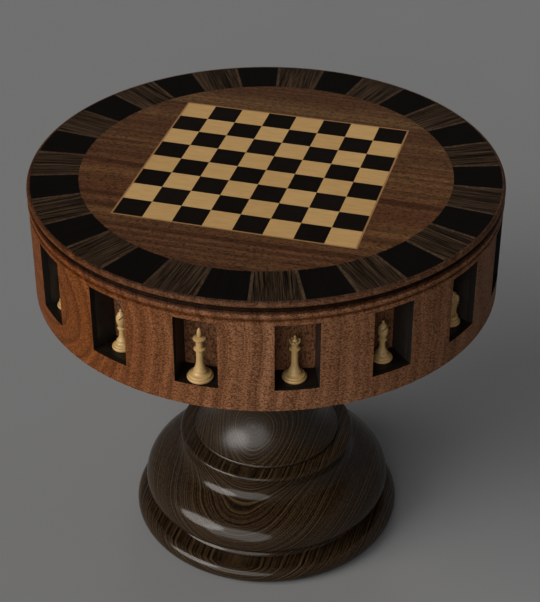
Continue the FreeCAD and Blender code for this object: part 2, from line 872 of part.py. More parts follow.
def knight(body):
    corners = figure_foot("knight")
    foot_x, foot_z = corners[-1][:2]
    seat, seat_level = size("knight_seat_radius"), foot_z + size("knight_seat_height")
    turn_outline(body, corners + [
        (seat, seat_level, bulge_radius(slant(foot_x - seat, size("knight_seat_height")),
                                        size("plinth_bulge"))),
        (term(0), seat_level),
    ])
    length, height = size("knight_head_length"), size("knight_head_height")
    middle_x, middle_z = HEAD_MIDDLE
    sections = []
    for offset, share in ((-1, CHEEK_SHARE), (0, 1), (1, CHEEK_SHARE)):
        sketch = new_sketch(body, "XZ_Plane", size("knight_cheek_width") / 2 * offset)
        points = [(length * (middle_x + (forward - middle_x) * share),
                   size("knight_neck_level") + height * (middle_z + (upward - middle_z) * share))
                  for forward, upward, bow in HORSE_HEAD]
        edges = []
        for index, (x, z) in enumerate(points):
            before_x, before_z = points[index - 1]
            bow = HORSE_HEAD[index][2]
            chord = slant(x - before_x, z - before_z)
            rise = length * (abs(bow) * share)
            if bow > 0:
                edges.append((x, z, bulge_radius(chord, rise)))
            elif bow < 0:
                edges.append((x, z, -bulge_radius(chord, rise)))
            else:
                edges.append((x, z))
        sections.append(outline(sketch, edges))
    head = body.newObject("PartDesign::AdditiveLoft", f"{body.Label}_head")
    head.Profile = sections[0]
    head.Sections = sections[1:]
    head.Ruled = False


def rook(body):
    shaft = figure_shaft("rook")
    neck_x, neck_z = shaft[-1]
    tower = size("rook_parapet_radius")
    tower_level = neck_z + size("rook_flare_height")
    top = tower_level + size("rook_parapet_height")
    inside = tower - size("rook_wall")
    turn_outline(body, shaft + [
        (tower, tower_level, -sweep_radius(tower - neck_x, size("rook_flare_height"))),
        (tower, top),
        (inside, top),
        (inside, top - size("rook_well_depth")),
        (term(0), top - size("rook_well_depth")),
    ])
    half_slot = size("rook_slot_width") / 2
    reach = tower * 2
    slot = outline(new_sketch(body, "XY_Plane", top), [
        (-reach, -half_slot), (reach, -half_slot), (reach, half_slot), (-reach, half_slot)])
    around(body, pocket(body, slot, size("rook_well_depth")), size("rook_slots"))


FIGURES = {"king": king, "queen": queen, "bishop": bishop, "knight": knight, "rook": rook}

# Niches in order, from the one to the left of the light king's knight round towards +X
BACK_ROW = ["left_rook", "left_knight", "left_bishop", "king", "queen", "right_bishop", "right_knight",
            "right_rook"]


# Where figures look, in degrees from straight out towards +X; the others look straight out
FACING = {"left_knight": 90, "right_knight": -90, "left_bishop": 100, "right_bishop": 40}
SIDES = {"left": -1, "right": 1}


def figures():
    pitch = term(360) / size("niche_count")
    for first, colour in ((-3, "light"), (5, "dark")):
        for place, name in enumerate(BACK_ROW):
            kind = name.split("_")[-1]
            side = name.split("_")[0]
            angle = pitch * (first + place) - 90
            body = new_body(f"{colour}_{name}", angle + FACING.get(name, 0))
            FIGURES[kind](body)
            stand = niche_back + size(f"{kind}_back_gap") + size(f"{kind}_base_radius")
            aside = size(f"{kind}_aside") * SIDES[side] if side in SIDES else term(0)
            bind(body, "Placement.Base.x", stand * cosine(angle) - aside * sine(angle))
            bind(body, "Placement.Base.y", stand * sine(angle) + aside * cosine(angle))
            bind(body, "Placement.Base.z", niche_level + size("figure_lift"))


inlaid_top()
edge_mouldings()
apron()
niches()
flange_fixing(drum_inside(), *pedestal())
tie()
figures()
document.recompute()

for item in document.Objects:
    if "Invalid" in item.State or "Error" in item.State:
        raise RuntimeError(f"{item.Label} failed: {item.State}")
for body in subparts:
    if body.Shape.isNull() or not body.Shape.isValid():
        raise RuntimeError(f"{body.Label} has no valid shape")

os.makedirs("parts", exist_ok=True)
for body in subparts:
    body.Shape.exportStep(f"parts/{body.Label}.step")
print(f"{len(subparts)} sub-parts written")
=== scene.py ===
import bpy
import math
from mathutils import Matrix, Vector


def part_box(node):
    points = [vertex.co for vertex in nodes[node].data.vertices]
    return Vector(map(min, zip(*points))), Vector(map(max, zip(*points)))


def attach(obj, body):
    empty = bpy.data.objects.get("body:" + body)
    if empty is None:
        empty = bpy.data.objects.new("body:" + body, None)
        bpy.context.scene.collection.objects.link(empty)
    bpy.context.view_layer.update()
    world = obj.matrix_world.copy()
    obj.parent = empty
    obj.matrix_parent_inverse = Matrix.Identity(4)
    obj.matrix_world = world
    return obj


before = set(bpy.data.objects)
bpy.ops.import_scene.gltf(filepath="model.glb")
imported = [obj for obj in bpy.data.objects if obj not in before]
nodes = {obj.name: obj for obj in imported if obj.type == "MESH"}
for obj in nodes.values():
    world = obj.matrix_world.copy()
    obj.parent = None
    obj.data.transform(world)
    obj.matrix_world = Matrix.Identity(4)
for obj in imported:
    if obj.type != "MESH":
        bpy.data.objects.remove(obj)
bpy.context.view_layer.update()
print("frame loaded:", len(nodes), "nodes")


# Shader helpers

def put(tree, kind, inputs=None, **settings):
    item = tree.nodes.new("ShaderNode" + kind)
    for key, value in settings.items():
        setattr(item, key, value)
    for key, value in (inputs or {}).items():
        socket = item.inputs[key]
        if isinstance(value, bpy.types.NodeSocket):
            tree.links.new(value, socket)
        else:
            socket.default_value = value
    return item


def maths(tree, operation, first, second=0.0):
    return put(tree, "Math", {0: first, 1: second}, operation=operation).outputs[0]


def vectors(tree, operation, first, second):
    return put(tree, "VectorMath", {0: first, 1: second}, operation=operation).outputs[0]


def squeeze(tree, vector, shares):
    return vectors(tree, "MULTIPLY", vector, shares)


def length(tree, vector):
    return put(tree, "VectorMath", {0: vector}, operation="LENGTH").outputs["Value"]


# Two patterns in one, the first with the given share
def weigh(tree, first, second, share):
    rest = maths(tree, "MULTIPLY", second, 1.0 - share)
    return maths(tree, "ADD", maths(tree, "MULTIPLY", first, share), rest)


mixSockets = {"factor": 0, "first": 6, "second": 7, "result": 2}  # the Mix node's sockets for colours


def blendColour(tree, factor, colour, tone, blend="MIX"):
    inputs = {mixSockets["factor"]: factor, mixSockets["first"]: colour, mixSockets["second"]: (*tone, 1.0)}
    item = put(tree, "Mix", inputs, data_type="RGBA", blend_type=blend, clamp_factor=True)
    return item.outputs[mixSockets["result"]]


def ramp(tree, factor, stops):
    item = put(tree, "ValToRGB", {0: factor})
    band = item.color_ramp
    while len(band.elements) < len(stops):
        band.elements.new(0.5)
    for element, (place, colour) in zip(band.elements, stops):
        element.position = place
        element.color = (*colour, 1.0)
    return item.outputs[0]


def span(tree, value, low, high, newLow=0.0, newHigh=1.0):
    inputs = {"Value": value, "From Min": low, "From Max": high, "To Min": newLow, "To Max": newHigh}
    return put(tree, "MapRange", inputs, clamp=True).outputs[0]


def noise(tree, vector, scale, detail=3.0, roughness=0.55):
    inputs = {"Vector": vector, "Scale": scale, "Detail": detail, "Roughness": roughness}
    return put(tree, "TexNoise", inputs).outputs[0]


figureSpan = (0.3, 0.7)  # nearly all of a noise lies between these


# Gloss that changes a little with the figure: less and more than the look's roughness
def unevenGloss(tree, figure, look, swing):
    return span(tree, figure, *figureSpan, look["roughness"] - swing[0], look["roughness"] + swing[1])


def newShader(name, look):
    mat = bpy.data.materials.new(name)
    mat.use_nodes = True
    tree = mat.node_tree
    tree.nodes.clear()
    out = put(tree, "OutputMaterial")
    skin = put(tree, "BsdfPrincipled")
    tree.links.new(skin.outputs[0], out.inputs[0])
    skin.inputs["Specular IOR Level"].default_value = look.get("specular", 0.4)
    skin.inputs["Coat Weight"].default_value = look.get("coat", 0.0)
    skin.inputs["Coat Roughness"].default_value = look.get("coatRoughness", 0.1)
    skin.inputs["Metallic"].default_value = look.get("metallic", 0.0)
    return mat, tree, skin


def finishSkin(tree, skin, colour, roughness, height, depth):
    tree.links.new(colour, skin.inputs["Base Color"])
    tree.links.new(roughness, skin.inputs["Roughness"])
    bump = put(tree, "Bump", {"Height": height, "Strength": 1.0, "Distance": depth})
    tree.links.new(bump.outputs[0], skin.inputs["Normal"])


# Turns the grain onto the local Z of the wood
grainTurn = {"X": (0.0, -math.pi / 2, 0.0), "Y": (math.pi / 2, 0.0, 0.0), "Z": (0.0, 0.0, 0.0)}
sideways = (1.0, 1.0, 0.0)  # leaves the third axis out

# What all solid woods share
woodFigure = {
    "driftDetail": 2.0, "bandScale": 1.3, "bandDetail": 2.0, "leastLate": 0.35, "fibreStretch": 0.03,
    "fibreDetail": 2.0, "fibreRise": 0.4, "poreRoughness": 0.75, "pitSlope": 0.05, "streakEdges": (0.45, 0.68),
    "fleckEdges": (0.56, 0.62), "heartCore": 0.3, "gloss": (0.05, 0.06), "jambFacing": (0.6, 0.5),
    "sillFacing": (0.5, 0.6),
}


# Solid wood: rings round a pith line, dark late wood, streaks, fibres, pores and pale flecks
def solidWood(name, look):
    mat, tree, skin = newShader(name, look)
    place = put(tree, "TexCoord").outputs["Object"]
    fromPith = vectors(tree, "SUBTRACT", place, look["pith"])
    turned = put(tree, "Mapping", {"Vector": fromPith, "Rotation": grainTurn[look["grain"]]}).outputs[0]
    drift = put(tree, "TexNoise", {"Vector": squeeze(tree, turned, (1.0, 1.0, look["stretch"])),
                                   "Scale": look["driftScale"], "Detail": woodFigure["driftDetail"]})
    drift = vectors(tree, "SUBTRACT", drift.outputs["Color"], (0.5, 0.5, 0.5))
    drift = squeeze(tree, drift, (look["drift"], look["drift"], 0.0))
    fromCore = length(tree, vectors(tree, "ADD", squeeze(tree, turned, sideways), drift))
    rings = maths(tree, "DIVIDE", fromCore, look["ringGap"])
    band = put(tree, "TexNoise", {"W": rings, "Scale": look.get("bandScale", woodFigure["bandScale"]),
                                  "Detail": woodFigure["bandDetail"]}, noise_dimensions="1D").outputs[0]
    ring = maths(tree, "FLOOR", rings)
    luck = put(tree, "TexWhiteNoise", {"W": ring}, noise_dimensions="1D").outputs["Value"]
    late = span(tree, maths(tree, "FRACT", rings), look["lateEdge"], 1.0)
    late = maths(tree, "MULTIPLY", late, span(tree, luck, 0.0, 1.0, woodFigure["leastLate"], 1.0))
    fibre = noise(tree, squeeze(tree, turned, (1.0, 1.0, woodFigure["fibreStretch"])), look["fibreScale"],
                  woodFigure["fibreDetail"])
    poreSpace = squeeze(tree, turned, (look.get("poreSpread", 1.0), 1.0, look["poreStretch"]))
    pores = noise(tree, poreSpace, look["poreScale"], look.get("poreDetail", 1.0), woodFigure["poreRoughness"])
    streak = noise(tree, squeeze(tree, turned, (1.0, 1.0, look["streakStretch"])), look["streakScale"])
    colour = ramp(tree, weigh(tree, band, fibre, look["ringShare"]), look["tones"])
    streakShare = span(tree, streak, *woodFigure["streakEdges"], 0.0, look["streakShare"])
    colour = blendColour(tree, streakShare, colour, look["streakTone"])
    colour = blendColour(tree, maths(tree, "MULTIPLY", late, look["lateShare"]), colour, look["lateTone"])
    pit = span(tree, pores, look["poreEdge"], look["poreEdge"] - woodFigure["pitSlope"])
    colour = blendColour(tree, maths(tree, "MULTIPLY", pit, look["poreShare"]), colour, look["poreTone"])
    fleck = span(tree, pores, *woodFigure["fleckEdges"], 0.0, look["fleckShare"])
    colour = blendColour(tree, fleck, colour, look["fleckTone"])
    if "heartTint" in look:  # another tint towards the pith
        heart = span(tree, fromCore, look["heartReach"], look["heartReach"] * woodFigure["heartCore"])
        colour = blendColour(tree, heart, colour, look["heartTint"], "MULTIPLY")
    for start, end, tint in look.get("paintedShades", []):  # painted shade that sets in from one level to another
        level = put(tree, "SeparateXYZ", {0: place}).outputs["Z"]
        colour = blendColour(tree, span(tree, level, start, end), colour, tint, "MULTIPLY")
    if "jambTone" in look:  # the cut sides of each window are lacquered black
        normal = put(tree, "NewGeometry").outputs["Normal"]
        outward = put(tree, "VectorMath", {0: squeeze(tree, place, sideways)}, operation="NORMALIZE").outputs[0]
        facing = put(tree, "VectorMath", {0: normal, 1: outward}, operation="DOT_PRODUCT").outputs["Value"]
        jamb = span(tree, maths(tree, "ABSOLUTE", facing), *woodFigure["jambFacing"])
        colour = blendColour(tree, jamb, colour, look["jambTone"])
    if "sillTone" in look:  # the sill's upward faces are turned nearly black as well
        normal = put(tree, "NewGeometry").outputs["Normal"]
        upward = put(tree, "SeparateXYZ", {0: normal}).outputs["Z"]
        colour = blendColour(tree, span(tree, upward, *woodFigure["sillFacing"]), colour, look["sillTone"])
    height = maths(tree, "SUBTRACT", maths(tree, "MULTIPLY", fibre, woodFigure["fibreRise"]), pit)
    rough = unevenGloss(tree, fibre, look, woodFigure["gloss"])
    finishSkin(tree, skin, colour, rough, height, look["depth"])
    return mat


# A band of painted shade on a moulding, between two shares of its height
def paintedShadeBand(box, start, end, tint):
    low, high = (corner.z for corner in box)
    return low + start * (high - low), low + end * (high - low), tint


walnutLook = {
    "grain": "Y", "pith": (-0.31, 0.0, 0.61), "stretch": 0.3, "ringGap": 0.026, "drift": 0.06, "driftScale": 4.0,
    "bandScale": 2.6, "ringShare": 0.8, "lateEdge": 0.4, "lateShare": 0.75, "lateTone": (0.06, 0.023, 0.009),
    "fibreScale": 420.0, "poreScale": 460.0, "poreStretch": 0.4, "poreSpread": 0.7, "poreDetail": 3.0,
    "poreEdge": 0.49, "poreShare": 0.75, "poreTone": (0.035, 0.012, 0.005),
    "fleckShare": 0.6, "fleckTone": (0.27, 0.13, 0.066),
    "streakScale": 9.0, "streakStretch": 0.2, "streakShare": 0.45, "streakTone": (0.17, 0.07, 0.03),
    "heartReach": 0.42, "heartTint": (0.76, 0.52, 0.26),
    "tones": [(0.3, (0.14, 0.06, 0.028)), (0.5, (0.205, 0.09, 0.043)), (0.7, (0.26, 0.12, 0.06))],
    "roughness": 0.5, "specular": 0.06, "depth": 0.0001,
}
staveLook = dict(walnutLook, jambTone=(0.012, 0.011, 0.01))
sillLook = dict(walnutLook, sillTone=(0.008, 0.006, 0.004))
backLook = dict(walnutLook, grain="Z", pith=(0.0, 0.25, 0.6), ringGap=0.02)
# The field: walnut with its own figure, its tones set lower partly as painted shade on the up-facing top
fieldLook = dict(
    walnutLook, grain="X", pith=(0.0, -0.1, 0.56), ringGap=0.013, drift=0.03, stretch=0.12,
    lateShare=0.8, lateTone=(0.022, 0.009, 0.004), heartReach=0.35, heartTint=(1.05, 0.9, 0.8),
    streakScale=26.0, streakStretch=0.04, streakShare=0.85, streakTone=(0.15, 0.08, 0.032),
    poreTone=(0.016, 0.007, 0.003), poreShare=0.8, fleckTone=(0.15, 0.075, 0.035), fleckShare=0.25,
    tones=[(0.3, (0.052, 0.022, 0.01)), (0.5, (0.085, 0.037, 0.017)), (0.7, (0.12, 0.056, 0.027))],
    specular=0.03)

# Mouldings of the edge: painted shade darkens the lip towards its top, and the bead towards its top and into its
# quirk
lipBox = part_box("edge_lipping")
edgeLook = dict(
    walnutLook, streakTone=(0.13, 0.055, 0.026), fleckTone=(0.2, 0.098, 0.052), heartTint=(0.86, 0.66, 0.42),
    tones=[(0.3, (0.1, 0.042, 0.02)), (0.5, (0.145, 0.064, 0.031)), (0.7, (0.19, 0.088, 0.045))],
    paintedShades=[paintedShadeBand(lipBox, 0.45, 0.97, (0.42, 0.44, 0.47))])
# The cove: near-black walnut tones, painted shade in the hollow under the lip
coveLook = dict(
    walnutLook, streakTone=(0.013, 0.006, 0.003), fleckTone=(0.024, 0.012, 0.006),
    lateTone=(0.006, 0.0025, 0.0015), poreTone=(0.005, 0.002, 0.001),
    tones=[(0.3, (0.006, 0.003, 0.0015)), (0.5, (0.011, 0.0055, 0.003)), (0.7, (0.017, 0.008, 0.0045))],
    specular=0.03)
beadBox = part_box("bead_moulding")
# Painted shade on the bead: darker towards its top under the lip, and a thin dark line in its quirk
beadLook = dict(walnutLook, paintedShades=[paintedShadeBand(beadBox, 0.72, 0.9, (0.22, 0.18, 0.14)),
                                    paintedShadeBand(beadBox, 0.36, 0.24, (0.5, 0.4, 0.26))])
stringingLook = dict(
    walnutLook, streakTone=(0.065, 0.039, 0.023), fleckTone=(0.09, 0.056, 0.034), heartTint=(0.95, 0.9, 0.84),
    lateTone=(0.034, 0.02, 0.0115), poreTone=(0.024, 0.014, 0.008),
    tones=[(0.3, (0.04, 0.0235, 0.0135)), (0.5, (0.06, 0.0355, 0.0205)), (0.7, (0.08, 0.048, 0.029))],
    specular=0.03)

# Pedestal and dark figures
wengeLook = {
    "grain": "Y", "pith": (0.0, 0.0, 0.236), "stretch": 0.25, "ringGap": 0.0068, "drift": 0.012,
    "driftScale": 8.0, "bandScale": 2.6, "ringShare": 0.8,
    "lateEdge": 0.58, "lateShare": 0.95, "lateTone": (0.002, 0.0013, 0.0008),
    "fibreScale": 620.0, "poreScale": 700.0, "poreStretch": 0.06, "poreEdge": 0.44, "poreShare": 0.5,
    "poreTone": (0.006, 0.004, 0.003), "fleckShare": 0.2, "fleckTone": (0.07, 0.045, 0.026),
    "streakScale": 6.0, "streakStretch": 0.2, "streakShare": 0.55, "streakTone": (0.016, 0.009, 0.005),
    "tones": [(0.33, (0.003, 0.0018, 0.001)), (0.45, (0.012, 0.0068, 0.003)), (0.55, (0.034, 0.0195, 0.0083)),
              (0.7, (0.068, 0.0385, 0.016))],
    "roughness": 0.24, "specular": 0.05, "coat": 0.42, "coatRoughness": 0.12, "depth": 0.00003,
}
columnLook = dict(wengeLook, coat=0.6, coatRoughness=0.32)
rosewoodLook = dict(
    wengeLook, grain="Z", pith=(0.0, 0.0, 0.5), ringGap=0.006, bandScale=1.3, roughness=0.36, coat=0.1,
    lateShare=0.5, lateTone=(0.04, 0.015, 0.007), streakTone=(0.14, 0.052, 0.024),
    tones=[(0.25, (0.09, 0.035, 0.017)), (0.5, (0.14, 0.057, 0.028)), (0.75, (0.19, 0.083, 0.042))],
    poreTone=(0.04, 0.016, 0.008), fleckTone=(0.2, 0.088, 0.045))

# Light figures, the board's border and the plain wood inside
boxwoodLook = {
    "grain": "Z", "pith": (0.0, 0.0, 0.5), "stretch": 0.15, "ringGap": 0.009, "drift": 0.02, "driftScale": 6.0,
    "ringShare": 0.4, "lateEdge": 0.5, "lateShare": 0.22, "lateTone": (0.34, 0.2, 0.075),
    "fibreScale": 500.0, "poreScale": 800.0, "poreStretch": 0.08, "poreEdge": 0.4, "poreShare": 0.15,
    "poreTone": (0.25, 0.14, 0.05), "fleckShare": 0.1, "fleckTone": (0.6, 0.42, 0.2),
    "streakScale": 14.0, "streakStretch": 0.1, "streakShare": 0.3, "streakTone": (0.47, 0.3, 0.125),
    "tones": [(0.25, (0.36, 0.22, 0.084)), (0.5, (0.41, 0.26, 0.102)), (0.75, (0.46, 0.3, 0.126))],
    "roughness": 0.36, "specular": 0.3, "coat": 0.15, "coatRoughness": 0.2, "depth": 0.00002,
}
borderLook = dict(
    boxwoodLook, lateTone=(0.18, 0.09, 0.035), streakTone=(0.25, 0.12, 0.045), fleckTone=(0.36, 0.2, 0.085),
    poreTone=(0.14, 0.07, 0.03), specular=0.1, coat=0.0,
    tones=[(0.25, (0.2, 0.1, 0.035)), (0.5, (0.28, 0.145, 0.055)), (0.75, (0.35, 0.19, 0.075))])
beechLook = dict(
    boxwoodLook, grain="X", ringGap=0.012, coat=0.0, roughness=0.62, specular=0.25,
    lateTone=(0.24, 0.14, 0.07), streakTone=(0.3, 0.2, 0.11), poreTone=(0.18, 0.11, 0.055),
    fleckTone=(0.46, 0.32, 0.19),
    tones=[(0.25, (0.26, 0.16, 0.085)), (0.5, (0.34, 0.22, 0.12)), (0.75, (0.42, 0.28, 0.16))])

squareLook = {
    "side": 0.05, "spread": 0.16, "shift": (0.37, 0.21, 0.0), "figureShare": 0.6,
    "figure": {"squeeze": (0.12, 1.0, 1.0), "scale": 260.0, "detail": 4.0},
    "fibre": {"squeeze": (0.03, 1.0, 1.0), "scale": 900.0, "detail": 2.0},
    "gloss": (0.04, 0.05), "depth": 0.00002,
    "light": {"tones": [(0.25, (0.38, 0.225, 0.085)), (0.5, (0.45, 0.275, 0.107)), (0.75, (0.51, 0.325, 0.135))],
              "roughness": 0.5, "specular": 0.06},
    "dark": {"tones": [(0.25, (0.003, 0.002, 0.0015)), (0.5, (0.006, 0.004, 0.003)), (0.8, (0.011, 0.007, 0.005))],
             "roughness": 0.5, "specular": 0.02},
}


# Each square is cut from its own bit of veneer, so tone and figure change from square to square
def squareVeneer(name, look):
    mat, tree, skin = newShader(name, look)
    place = put(tree, "TexCoord").outputs["Object"]
    scaled = put(tree, "VectorMath", {0: place, "Scale": 1.0 / squareLook["side"]}, operation="SCALE").outputs[0]
    cell = put(tree, "VectorMath", {0: scaled}, operation="FLOOR").outputs[0]
    flat = squeeze(tree, cell, sideways)
    chance = put(tree, "TexWhiteNoise", {"Vector": flat}, noise_dimensions="3D").outputs["Value"]
    shifted = vectors(tree, "ADD", place, squeeze(tree, flat, squareLook["shift"]))
    figure, fibre = (noise(tree, squeeze(tree, shifted, part["squeeze"]), part["scale"], part["detail"])
                     for part in (squareLook["figure"], squareLook["fibre"]))
    nudge = maths(tree, "MULTIPLY", maths(tree, "SUBTRACT", chance, 0.5), squareLook["spread"])
    tone = maths(tree, "ADD", weigh(tree, figure, fibre, squareLook["figureShare"]), nudge)
    rough = unevenGloss(tree, fibre, look, squareLook["gloss"])
    finishSkin(tree, skin, ramp(tree, tone, look["tones"]), rough, fibre, squareLook["depth"])
    return mat


segmentLook = {
    "pitch": math.radians(24.0), "start": math.radians(-90.0),  # one dark and one striped segment to a pitch
    "seed": 0.731, "stripeDetail": 4.0, "stripeRoughness": 0.6, "stripeShare": 0.75, "fineTimes": 4.0,
    "fineDetail": 2.0, "gloss": (0.04, 0.05), "depth": 0.00002,
    "zebrano": {"offset": 12.0, "stripe": 640.0, "wander": 0.012,
                "tones": [(0.4, (0.0025, 0.0014, 0.001)), (0.47, (0.008, 0.0048, 0.0027)),
                          (0.54, (0.034, 0.0205, 0.0115)), (0.66, (0.088, 0.055, 0.032))],
                "roughness": 0.5, "specular": 0.02},
    "ebony": {"offset": 0.0, "stripe": 500.0, "wander": 0.02,
              "tones": [(0.3, (0.002, 0.0016, 0.0014)), (0.55, (0.004, 0.003, 0.0025)),
                        (0.8, (0.008, 0.006, 0.005))],
              "roughness": 0.5, "specular": 0.02},
}


# Stripes run along each segment's own middle line
def segmentVeneer(name, look):
    mat, tree, skin = newShader(name, look)
    place = put(tree, "TexCoord").outputs["Object"]
    parts = put(tree, "SeparateXYZ", {0: place})
    angle = maths(tree, "ARCTAN2", parts.outputs["Y"], parts.outputs["X"])
    turn = maths(tree, "SUBTRACT", angle, segmentLook["start"] + math.radians(look["offset"]))
    index = maths(tree, "FLOOR", maths(tree, "DIVIDE", turn, segmentLook["pitch"]))
    edge = maths(tree, "MULTIPLY", index, segmentLook["pitch"])
    local = maths(tree, "SUBTRACT", maths(tree, "SUBTRACT", turn, edge), segmentLook["pitch"] / 4)
    radius = length(tree, squeeze(tree, place, sideways))
    across = maths(tree, "MULTIPLY", radius, maths(tree, "SINE", local))
    along = maths(tree, "MULTIPLY", radius, maths(tree, "COSINE", local))
    grain = put(tree, "CombineXYZ", {0: across, 1: maths(tree, "MULTIPLY", along, look["wander"]),
                                     2: maths(tree, "MULTIPLY", index, segmentLook["seed"])}).outputs[0]
    stripes = noise(tree, grain, look["stripe"], segmentLook["stripeDetail"], segmentLook["stripeRoughness"])
    fine = noise(tree, grain, look["stripe"] * segmentLook["fineTimes"], segmentLook["fineDetail"])
    colour = ramp(tree, weigh(tree, stripes, fine, segmentLook["stripeShare"]), look["tones"])
    rough = unevenGloss(tree, fine, look, segmentLook["gloss"])
    finishSkin(tree, skin, colour, rough, stripes, segmentLook["depth"])
    return mat


lacquerLook = {"tones": [(0.3, (0.012, 0.0095, 0.0085)), (0.7, (0.021, 0.0165, 0.0145))], "roughness": 0.36,
               "specular": 0.2, "coat": 0.05, "coatRoughness": 0.1, "scale": 60.0, "depth": 0.00001}
floorLacquerLook = dict(lacquerLook, tones=[(0.3, (0.005, 0.0035, 0.0025)), (0.7, (0.01, 0.007, 0.005))])
steelLook = {"tones": [(0.3, (0.42, 0.42, 0.41)), (0.7, (0.55, 0.55, 0.54))], "roughness": 0.34, "metallic": 1.0,
             "specular": 0.5, "scale": 700.0, "squeeze": (1.0, 1.0, 0.1), "depth": 0.00002}
feltLook = {"tones": [(0.3, (0.02, 0.02, 0.02)), (0.7, (0.045, 0.045, 0.045))], "roughness": 0.92,
            "specular": 0.1, "scale": 900.0, "depth": 0.0004}
plainCloud = {"detail": 4.0, "gloss": (0.04, 0.06)}


# Lacquer, steel and felt: a fine cloud in tone, gloss and surface
def plainFinish(name, look):
    mat, tree, skin = newShader(name, look)
    place = put(tree, "TexCoord").outputs["Object"]
    grain = squeeze(tree, place, look.get("squeeze", (1.0, 1.0, 1.0)))
    cloud = noise(tree, grain, look["scale"], plainCloud["detail"])
    rough = unevenGloss(tree, cloud, look, plainCloud["gloss"])
    finishSkin(tree, skin, ramp(tree, cloud, look["tones"]), rough, cloud, look["depth"])
    return mat


skins = {
    "walnut": solidWood("walnut", walnutLook),
    "stave": solidWood("walnutStave", staveLook),
    "sill": solidWood("walnutSill", sillLook),
    "field": solidWood("walnutField", fieldLook),
    "edge": solidWood("walnutEdge", edgeLook),
    "cove": solidWood("walnutCove", coveLook),
    "bead": solidWood("walnutBead", beadLook),
    "stringing": solidWood("walnutStringing", stringingLook),
    "nicheBack": solidWood("walnutNiche", backLook),
    "wenge": solidWood("wenge", wengeLook),
    "column": solidWood("wengeColumn", columnLook),
    "boxwood": solidWood("boxwood", boxwoodLook),
    "rosewood": solidWood("rosewood", rosewoodLook),
    "beech": solidWood("beech", beechLook),
    "border": solidWood("borderLine", borderLook),
    "lightSquare": squareVeneer("lightSquare", squareLook["light"]),
    "darkSquare": squareVeneer("darkSquare", squareLook["dark"]),
    "zebrano": segmentVeneer("zebrano", segmentLook["zebrano"]),
    "ebony": segmentVeneer("ebony", segmentLook["ebony"]),
    "lacquer": plainFinish("nicheLacquer", lacquerLook),
    "floorLacquer": plainFinish("blackLacquer", floorLacquerLook),
    "steel": plainFinish("zincSteel", steelLook),
    "felt": plainFinish("felt", feltLook),
}
print("finishes made:", len(skins))

wornBy = {
    "field": ["field_veneer"],
    "lightSquare": ["light_squares"],
    "darkSquare": ["dark_squares"],
    "border": ["board_border"],
    "zebrano": ["zebrano_segments"],
    "ebony": ["ebony_segments"],
    "edge": ["edge_lipping"],
    "bead": ["bead_moulding"],
    "stringing": ["segment_stringing"],
    "cove": ["cove_moulding"],
    "walnut": ["apron_top_rail"],
    "sill": ["apron_bottom_rail"],
    "stave": ["apron_staves"],
    "nicheBack": ["niche_backs"],
    "lacquer": ["niche_sides", "niche_ceiling"],
    "floorLacquer": ["niche_floor"],
    "beech": ["top_core", "top_ledger", "floor_ledger", "bearer_ribs", "hub_block", "bottom_board"],
    "column": ["column"],
    "wenge": ["head_flange", "collar", "bowl", "riser", "base_disc"],
    "steel": ["flange_screws", "tie_rod", "tie_washers", "tie_nuts"],
    "felt": ["felt_pads"],
    "boxwood": [name for name in nodes if name.startswith("light_") and name != "light_squares"],
    "rosewood": [name for name in nodes if name.startswith("dark_") and name != "dark_squares"],
}
for skin, names in wornBy.items():
    for name in names:
        mesh = nodes[name].data
        mesh.materials.clear()
        mesh.materials.append(skins[skin])
print("finishes given to", sum(len(names) for names in wornBy.values()), "nodes")


# Carving on the knights, laid on the plain solid: places are shares of the head's length and height
carving = {
    "footBand": 0.001, "headFrom": 0.03, "neckLevel": 0.009, "length": 0.029, "height": 0.053, "halfCheek": 0.0065,
    "ball": {"segments": 20, "rings": 12, "flankFrom": 0.7, "flank": (1.12, 0.9, 1.12), "tipFrom": 0.45,
             "tip": (0.8, 0.75)},
    "bumps": {
        "eye": {"at": (0.15, 0.79), "size": (0.0018, 0.0011, 0.0013), "tilt": -20.0},
        "brow": {"at": (0.14, 0.825), "size": (0.0026, 0.0009, 0.0006), "tilt": -20.0},
        "cheek": {"at": (0.13, 0.70), "size": (0.0048, 0.0013, 0.0052), "tilt": 0.0},
        "nostril": {"at": (0.45, 0.745), "size": (0.0011, 0.0008, 0.0008), "tilt": 30.0},
        "lip": {"at": (0.41, 0.695), "size": (0.0030, 0.0008, 0.0006), "tilt": 10.0},
    },
    "ear": {"at": (0.06, 0.945), "spread": 0.0026, "radius": 0.0020, "height": 0.0080, "lean": 8.0, "sides": 20,
            "foot": 0.8, "tip": 0.12, "cuts": 3, "bellyHalf": 0.3, "belly": (1.25, 1.35, 1.0)},
    "mane": {"middle": (0.05, 0.5), "locks": 9, "from": 100.0, "to": 222.0, "radius": (0.0150, 0.0108),
             "size": (0.0042, 0.0010, 0.0009), "draw": 1.25},
}
ownMiddle = (0.0, 0.0, 0.0)


def headSpot(share, aside):
    return (share[0] * carving["length"], aside, carving["neckLevel"] + share[1] * carving["height"])


# Picks the points of the active mesh for which the test holds, and leaves it in edit mode
def pick(test):
    bpy.ops.object.mode_set(mode="EDIT")
    bpy.ops.mesh.select_mode(type="VERT")
    bpy.ops.mesh.select_all(action="DESELECT")
    bpy.ops.object.mode_set(mode="OBJECT")
    for vertex in bpy.context.object.data.vertices:
        vertex.select = test(vertex.co)
    bpy.ops.object.mode_set(mode="EDIT")


# A ball with flattened flanks, drawn out to a point at one end
def shapeBump(draw):
    ball = carving["ball"]
    bpy.ops.mesh.primitive_uv_sphere_add(segments=ball["segments"], ring_count=ball["rings"], radius=1.0,
                                         rotation=(math.pi / 2, 0.0, 0.0))
    bpy.ops.object.transform_apply(rotation=True)
    pick(lambda spot: abs(spot.y) > ball["flankFrom"])
    bpy.ops.transform.resize(value=ball["flank"], center_override=ownMiddle)
    pick(lambda spot: spot.x > ball["tipFrom"])
    bpy.ops.transform.resize(value=(draw, *ball["tip"]), center_override=ownMiddle)
    bpy.ops.object.mode_set(mode="OBJECT")
    return bpy.context.object


